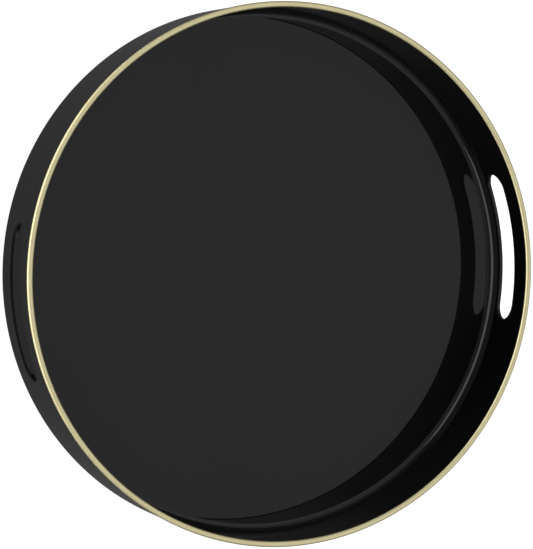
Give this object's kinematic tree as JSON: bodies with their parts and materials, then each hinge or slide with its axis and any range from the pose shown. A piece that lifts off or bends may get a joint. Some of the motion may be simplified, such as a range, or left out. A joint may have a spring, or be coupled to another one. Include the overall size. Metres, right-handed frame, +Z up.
{
  "type": "serving tray",
  "caption": "Round high-gloss black serving tray with an upright wall, rounded hand slots cut through it on opposite sides and a satin gold capping on the rim.",
  "frame": {"origin": "on the table the tray stands on, at the tray's centre line", "axes": "+Z up out of the tray; the hand slots face +X and -X"},
  "size_m": [0.33, 0.33, 0.0565],
  "materials": {
    "black_lacquer": "high-gloss black lacquer over bent and flat wood-based board",
    "cove_lacquer": "high-gloss black filler bead, lacquered with the board and hoop",
    "satin_gold": "satin gold anodised capping",
    "foot_rubber": "matt black moulded rubber",
    "zinc_steel": "bright zinc-plated steel"
  },
  "bodies": {
    "root": {"wall_hoop": "black_lacquer", "serving_board": "black_lacquer", "rim_capping": "satin_gold", "corner_cove": "cove_lacquer", "foot_1": "foot_rubber", "foot_2": "foot_rubber", "foot_3": "foot_rubber", "foot_4": "foot_rubber", "foot_washer_1": "zinc_steel", "foot_washer_2": "zinc_steel", "foot_washer_3": "zinc_steel", "foot_washer_4": "zinc_steel", "foot_screw_1": "zinc_steel", "foot_screw_2": "zinc_steel", "foot_screw_3": "zinc_steel", "foot_screw_4": "zinc_steel"}
  },
  "joints": []
}
